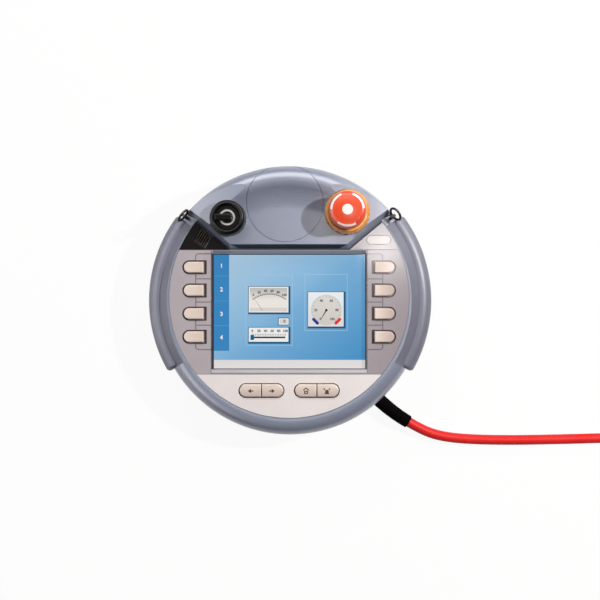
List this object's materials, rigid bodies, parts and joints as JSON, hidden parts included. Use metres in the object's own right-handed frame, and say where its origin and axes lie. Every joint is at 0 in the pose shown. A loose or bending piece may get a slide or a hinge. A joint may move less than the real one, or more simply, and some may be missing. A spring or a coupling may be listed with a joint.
{
  "type": "keypad operator panel",
  "caption": "Round handheld operator panel with a touch display, side soft keys, a hood with stop button and selector switch, side grips, rear enabling switches and a cable.",
  "frame": {"origin": "centre of the round housing, on the surface that the rubber feet stand on", "axes": "+Z out of the display, +Y towards the hood with the stop button, +X to the right hand grip"},
  "size_m": [0.6339, 0.2925, 0.106],
  "materials": {
    "housing_grey": "satin blue-grey moulding",
    "grip_grey": "satin soft-touch blue-grey",
    "gasket_rubber": "matt black",
    "screw_steel": "zinc plated",
    "panel_grey": "warm grey film",
    "panel_cream": "cream film",
    "grille_black": "black",
    "badge_white": "blank white",
    "bezel_grey": "satin grey",
    "screen_glass": "clear touch screen",
    "screen_image": "lit display",
    "key_cream": "cream key caps",
    "board_green": "circuit board",
    "black_plastic": "black",
    "stop_yellow": "yellow",
    "stop_red": "signal red",
    "ring_chrome": "bright",
    "strap_steel": "dark steel",
    "lever_black": "black",
    "sleeve_rubber": "black",
    "cable_red": "red sheath",
    "tie_fabric": "black",
    "plug_metal": "satin metal",
    "pin_metal": "gold plated contact pins"
  },
  "bodies": {
    "panel": {"badge_plate": "badge_white", "bend_sleeve": "sleeve_rubber", "buzzer": "black_plastic", "cable": "cable_red", "cable_coil": "cable_red", "cable_gland": "black_plastic", "cable_tail": "cable_red", "coil_tie": "tie_fabric", "corner_grille": "grille_black", "corner_panel": "panel_grey", "display_bezel": "bezel_grey", "estop_block": "black_plastic", "estop_collar": "stop_yellow", "front_housing": "housing_grey", "housing_gasket": "gasket_rubber", "lcd_module": "screen_image", "left_enable_switch": "black_plastic", "left_grip": "grip_grey", "left_key_board": "board_green", "left_key_panel": "panel_grey", "left_strap_lug": "strap_steel", "lower_key_board": "board_green", "lower_key_panel": "panel_cream", "main_board": "board_green", "plug_body": "plug_metal", "plug_pins": "pin_metal", "rear_housing": "housing_grey", "rear_screws": "screw_steel", "right_enable_switch": "black_plastic", "right_grip": "grip_grey", "right_key_board": "board_green", "right_key_panel": "panel_grey", "right_strap_lug": "strap_steel", "round_cover": "housing_grey", "rubber_feet": "gasket_rubber", "selector_bezel": "black_plastic", "selector_block": "black_plastic", "shaft_cover": "housing_grey", "touch_glass": "screen_glass"},
    "estop_stem": {"estop_stem": "black_plastic"},
    "estop_head": {"estop_head": "stop_red"},
    "selector": {"selector_rotor": "black_plastic", "selector_ring": "ring_chrome"},
    "right_strap_ring": {"right_strap_ring": "strap_steel"},
    "left_strap_ring": {"left_strap_ring": "strap_steel"},
    "right_enable_lever": {"right_enable_lever": "lever_black"},
    "left_enable_lever": {"left_enable_lever": "lever_black"},
    "plug_ring": {"plug_ring": "plug_metal"},
    "left_key_1": {"left_key_1": "key_cream"},
    "left_key_2": {"left_key_2": "key_cream"},
    "left_key_3": {"left_key_3": "key_cream"},
    "left_key_4": {"left_key_4": "key_cream"},
    "right_key_1": {"right_key_1": "key_cream"},
    "right_key_2": {"right_key_2": "key_cream"},
    "right_key_3": {"right_key_3": "key_cream"},
    "right_key_4": {"right_key_4": "key_cream"},
    "lower_key_1": {"lower_key_1": "key_cream"},
    "lower_key_2": {"lower_key_2": "key_cream"},
    "lower_key_3": {"lower_key_3": "key_cream"},
    "lower_key_4": {"lower_key_4": "key_cream"}
  },
  "joints": [
    {"name": "estop_press", "type": "slide", "parent": "panel", "child": "estop_stem", "axis": [0, 0, -1], "range_m": [0, 0.004], "stiffness_N_per_m": 2500, "springref_m": -0.002},
    {"name": "estop_twist", "type": "hinge", "parent": "estop_stem", "child": "estop_head", "pos_m": [0.0583, 0.0873, 0.097], "axis": [0, 0, 1], "range_deg": [-45, 0], "stiffness_Nm_per_rad": 0.05, "springref_deg": 11.46},
    {"name": "selector_turn", "type": "hinge", "parent": "panel", "child": "selector", "pos_m": [-0.0592, 0.081, 0.08], "axis": [0, 0, 1], "range_deg": [-90, 0]},
    {"name": "right_strap_swing", "type": "hinge", "parent": "panel", "child": "right_strap_ring", "pos_m": [0.10351, 0.08352, 0.068], "axis": [0.628, -0.7782, 0], "range_deg": [-94, 46]},
    {"name": "left_strap_swing", "type": "hinge", "parent": "panel", "child": "left_strap_ring", "pos_m": [-0.10351, 0.08352, 0.068], "axis": [0.628, 0.7782, 0], "range_deg": [-114, 26]},
    {"name": "right_enable_press", "type": "slide", "parent": "panel", "child": "right_enable_lever", "axis": [-1, 0, 0], "range_m": [0, 0.0035], "stiffness_N_per_m": 2500, "springref_m": -0.001},
    {"name": "left_enable_press", "type": "slide", "parent": "panel", "child": "left_enable_lever", "axis": [1, 0, 0], "range_m": [0, 0.0035], "stiffness_N_per_m": 2500, "springref_m": -0.001},
    {"name": "plug_ring_turn", "type": "hinge", "parent": "panel", "child": "plug_ring", "pos_m": [0.475, 0.069, 0.0154], "axis": [0, 1, 0], "continuous": true},
    {"name": "left_key_1_press", "type": "slide", "parent": "panel", "child": "left_key_1", "axis": [0, 0, -1], "range_m": [0, 0.0008], "stiffness_N_per_m": 3000, "springref_m": -0.0003},
    {"name": "left_key_2_press", "type": "slide", "parent": "panel", "child": "left_key_2", "axis": [0, 0, -1], "range_m": [0, 0.0008], "stiffness_N_per_m": 3000, "springref_m": -0.0003},
    {"name": "left_key_3_press", "type": "slide", "parent": "panel", "child": "left_key_3", "axis": [0, 0, -1], "range_m": [0, 0.0008], "stiffness_N_per_m": 3000, "springref_m": -0.0003},
    {"name": "left_key_4_press", "type": "slide", "parent": "panel", "child": "left_key_4", "axis": [0, 0, -1], "range_m": [0, 0.0008], "stiffness_N_per_m": 3000, "springref_m": -0.0003},
    {"name": "right_key_1_press", "type": "slide", "parent": "panel", "child": "right_key_1", "axis": [0, 0, -1], "range_m": [0, 0.0008], "stiffness_N_per_m": 3000, "springref_m": -0.0003},
    {"name": "right_key_2_press", "type": "slide", "parent": "panel", "child": "right_key_2", "axis": [0, 0, -1], "range_m": [0, 0.0008], "stiffness_N_per_m": 3000, "springref_m": -0.0003},
    {"name": "right_key_3_press", "type": "slide", "parent": "panel", "child": "right_key_3", "axis": [0, 0, -1], "range_m": [0, 0.0008], "stiffness_N_per_m": 3000, "springref_m": -0.0003},
    {"name": "right_key_4_press", "type": "slide", "parent": "panel", "child": "right_key_4", "axis": [0, 0, -1], "range_m": [0, 0.0008], "stiffness_N_per_m": 3000, "springref_m": -0.0003},
    {"name": "lower_key_1_press", "type": "slide", "parent": "panel", "child": "lower_key_1", "axis": [0, 0, -1], "range_m": [0, 0.0008], "stiffness_N_per_m": 3000, "springref_m": -0.0003},
    {"name": "lower_key_2_press", "type": "slide", "parent": "panel", "child": "lower_key_2", "axis": [0, 0, -1], "range_m": [0, 0.0008], "stiffness_N_per_m": 3000, "springref_m": -0.0003},
    {"name": "lower_key_3_press", "type": "slide", "parent": "panel", "child": "lower_key_3", "axis": [0, 0, -1], "range_m": [0, 0.0008], "stiffness_N_per_m": 3000, "springref_m": -0.0003},
    {"name": "lower_key_4_press", "type": "slide", "parent": "panel", "child": "lower_key_4", "axis": [0, 0, -1], "range_m": [0, 0.0008], "stiffness_N_per_m": 3000, "springref_m": -0.0003}
  ]
}
